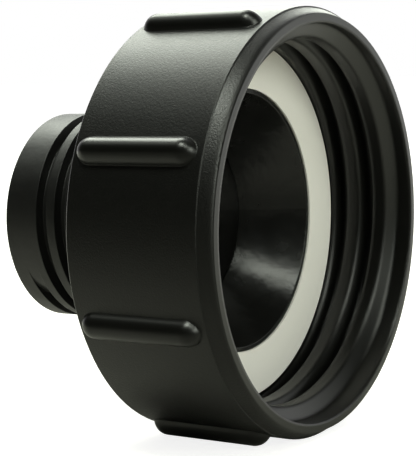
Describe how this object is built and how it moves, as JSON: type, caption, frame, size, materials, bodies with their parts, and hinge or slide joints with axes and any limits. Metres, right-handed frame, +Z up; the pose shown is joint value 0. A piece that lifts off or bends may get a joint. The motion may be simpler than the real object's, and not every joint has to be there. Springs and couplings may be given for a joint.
{
  "type": "threaded reducer adapter",
  "caption": "Reducing adapter for a bulk container's outlet: a ribbed swivel nut with a coarse inside thread, a funnel spout with a smaller coarse outside thread, and a flat gasket.",
  "frame": {"origin": "centre of the gasket's sealing face, on the common axis of the nut and the spout", "axes": "+X along the common axis, from the gasket out of the nut's mouth; +Z up while the piece lies on its nut; the spout points along -X"},
  "size_m": [0.0811, 0.1092, 0.1092],
  "materials": {
    "nut_plastic": "black polypropylene, fine spark-eroded skin",
    "spout_plastic": "black polypropylene, smooth moulded skin",
    "gasket_rubber": "off-white food-safe rubber, dull"
  },
  "bodies": {
    "spout": {"threaded_spout": "spout_plastic", "flat_gasket": "gasket_rubber"},
    "nut": {"swivel_nut": "nut_plastic"}
  },
  "joints": [
    {"name": "nut_swivel", "type": "hinge", "parent": "spout", "child": "nut", "pos_m": [0, 0, 0], "axis": [1, 0, 0], "continuous": true}
  ]
}
